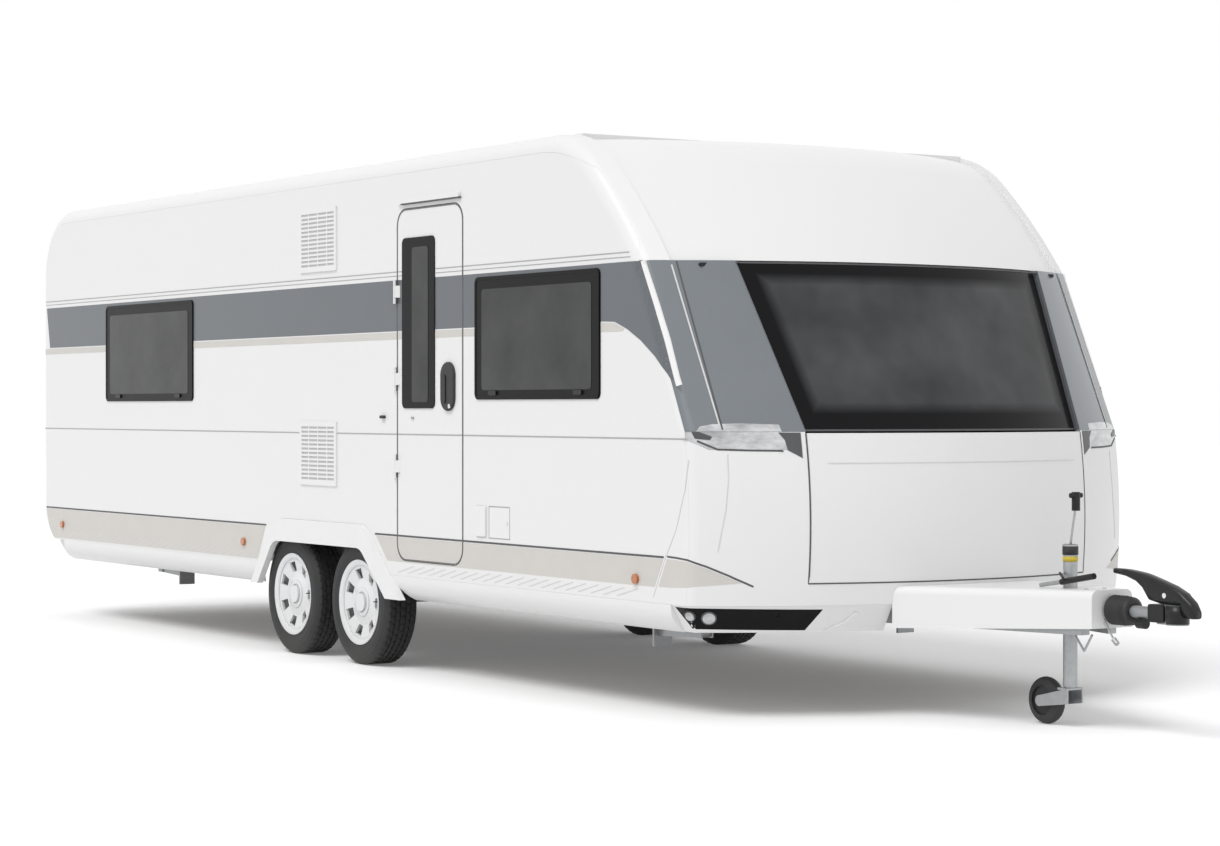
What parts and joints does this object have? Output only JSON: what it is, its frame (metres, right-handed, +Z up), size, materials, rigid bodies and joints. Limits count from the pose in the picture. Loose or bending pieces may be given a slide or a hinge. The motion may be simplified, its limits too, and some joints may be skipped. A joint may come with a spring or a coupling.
{
  "type": "touring caravan",
  "caption": "Long touring caravan with a rounded nose, an entrance door, roof lights, corner steadies, a covered drawbar with an overrun coupling, and slotted wheel covers.",
  "frame": {"origin": "on the ground, under the middle of the whole outline", "axes": "+X forward to the coupling, +Y to the left, +Z up"},
  "size_m": [9.329, 2.516, 2.6559],
  "materials": {
    "body_white": "gloss",
    "panel_grey": "gloss metallic",
    "dark_glass": "gloss",
    "smoked_glass": "gloss",
    "clear_lens": "gloss",
    "amber_lens": "gloss",
    "red_lens": "gloss",
    "lining": "satin",
    "floor_board": "satin",
    "black_plastic": "satin",
    "galvanised_steel": "satin",
    "cast_head": "satin",
    "handle_grey": "gloss",
    "bellows_rubber": "matte",
    "tyre_rubber": "matte",
    "jockey_tread": "matte",
    "wheel_white": "gloss"
  },
  "bodies": {
    "caravan": {"awning_lamp": "clear_lens", "axles": "galvanised_steel", "chassis_rail_left": "galvanised_steel", "chassis_rail_right": "galvanised_steel", "corner_plate_left": "panel_grey", "corner_plate_right": "panel_grey", "coupling_bellows": "bellows_rubber", "coupling_handle": "handle_grey", "coupling_head": "cast_head", "cross_members": "galvanised_steel", "door_frame": "black_plastic", "drawbar_cover": "body_white", "edge_trim_left": "body_white", "edge_trim_right": "body_white", "floor_panel": "floor_board", "fridge_vents": "body_white", "front_apron": "body_white", "front_roof_cap": "body_white", "handbrake_lever": "black_plastic", "headlamps": "clear_lens", "locker_lining": "lining", "marker_lamps": "amber_lens", "nose_panel": "body_white", "overrun_housing": "galvanised_steel", "rear_bumper": "body_white", "rear_wall": "body_white", "rear_window": "dark_glass", "roof_panel": "body_white", "side_skirt_left": "body_white", "side_skirt_right": "body_white", "side_wall_left": "body_white", "side_wall_right": "body_white", "tail_lamps": "red_lens", "wheel_boxes": "lining", "windows_left": "dark_glass", "windows_right": "dark_glass", "windscreen": "dark_glass"},
    "entrance_door": {"door_leaf": "body_white", "door_window": "dark_glass", "door_handle": "black_plastic"},
    "gas_locker_lid": {"front_locker_lid": "body_white"},
    "flap": {"service_flap": "body_white"},
    "front_roof_light": {"roof_light_front": "smoked_glass"},
    "rear_roof_light": {"roof_light_rear": "smoked_glass"},
    "jockey_leg": {"jockey_tube": "galvanised_steel"},
    "jockey_swivel": {"jockey_fork": "galvanised_steel"},
    "jockey_roller": {"jockey_wheel": "jockey_tread"},
    "front_left_wheel": {"tyre_front_left": "tyre_rubber", "wheel_front_left": "wheel_white"},
    "front_left_steady": {"steady_front_left": "galvanised_steel"},
    "front_right_wheel": {"tyre_front_right": "tyre_rubber", "wheel_front_right": "wheel_white"},
    "front_right_steady": {"steady_front_right": "galvanised_steel"},
    "rear_left_wheel": {"tyre_rear_left": "tyre_rubber", "wheel_rear_left": "wheel_white"},
    "rear_left_steady": {"steady_rear_left": "galvanised_steel"},
    "rear_right_wheel": {"tyre_rear_right": "tyre_rubber", "wheel_rear_right": "wheel_white"},
    "rear_right_steady": {"steady_rear_right": "galvanised_steel"}
  },
  "joints": [
    {"name": "front_left_wheel_spin", "type": "hinge", "parent": "caravan", "child": "front_left_wheel", "pos_m": [-0.2125, 1.118, 0.325], "axis": [0, 1, 0], "continuous": true},
    {"name": "front_right_wheel_spin", "type": "hinge", "parent": "caravan", "child": "front_right_wheel", "pos_m": [-0.2125, -1.118, 0.325], "axis": [0, 1, 0], "continuous": true},
    {"name": "rear_left_wheel_spin", "type": "hinge", "parent": "caravan", "child": "rear_left_wheel", "pos_m": [-0.9905, 1.118, 0.325], "axis": [0, 1, 0], "continuous": true},
    {"name": "rear_right_wheel_spin", "type": "hinge", "parent": "caravan", "child": "rear_right_wheel", "pos_m": [-0.9905, -1.118, 0.325], "axis": [0, 1, 0], "continuous": true},
    {"name": "door_swing", "type": "hinge", "parent": "caravan", "child": "entrance_door", "pos_m": [0.264, -1.249, 1.453], "axis": [0, 0, -1], "range_deg": [0, 175]},
    {"name": "locker_lid_lift", "type": "hinge", "parent": "caravan", "child": "gas_locker_lid", "pos_m": [3.2395, 0, 1.226], "axis": [0, -1, 0], "range_deg": [0, 80]},
    {"name": "flap_lift", "type": "hinge", "parent": "caravan", "child": "flap", "pos_m": [1.2865, -1.235, 0.864], "axis": [-1, 0, 0], "range_deg": [0, 100]},
    {"name": "front_roof_light_lift", "type": "hinge", "parent": "caravan", "child": "front_roof_light", "pos_m": [0.1195, 0, 2.616], "axis": [0, -1, 0], "range_deg": [0, 60]},
    {"name": "rear_roof_light_lift", "type": "hinge", "parent": "caravan", "child": "rear_roof_light", "pos_m": [-3.2805, 0, 2.616], "axis": [0, -1, 0], "range_deg": [0, 60]},
    {"name": "front_left_steady_swing", "type": "hinge", "parent": "caravan", "child": "front_left_steady", "pos_m": [2.2495, 0.72, 0.31], "axis": [0, -1, 0], "range_deg": [0, 40]},
    {"name": "front_right_steady_swing", "type": "hinge", "parent": "caravan", "child": "front_right_steady", "pos_m": [2.2495, -0.72, 0.31], "axis": [0, -1, 0], "range_deg": [0, 40]},
    {"name": "rear_left_steady_swing", "type": "hinge", "parent": "caravan", "child": "rear_left_steady", "pos_m": [-3.8305, 0.72, 0.31], "axis": [0, 1, 0], "range_deg": [0, 40]},
    {"name": "rear_right_steady_swing", "type": "hinge", "parent": "caravan", "child": "rear_right_steady", "pos_m": [-3.8305, -0.72, 0.31], "axis": [0, 1, 0], "range_deg": [0, 40]},
    {"name": "jockey_slide", "type": "slide", "parent": "caravan", "child": "jockey_leg", "axis": [0, 0, 1], "range_m": [-0.05, 0.15]},
    {"name": "jockey_turn", "type": "hinge", "parent": "jockey_leg", "child": "jockey_swivel", "pos_m": [3.9155, 0, 0.165], "axis": [0, 0, 1], "continuous": true},
    {"name": "jockey_roll", "type": "hinge", "parent": "jockey_swivel", "child": "jockey_roller", "pos_m": [3.7695, 0, 0.1], "axis": [0, 1, 0], "continuous": true}
  ]
}
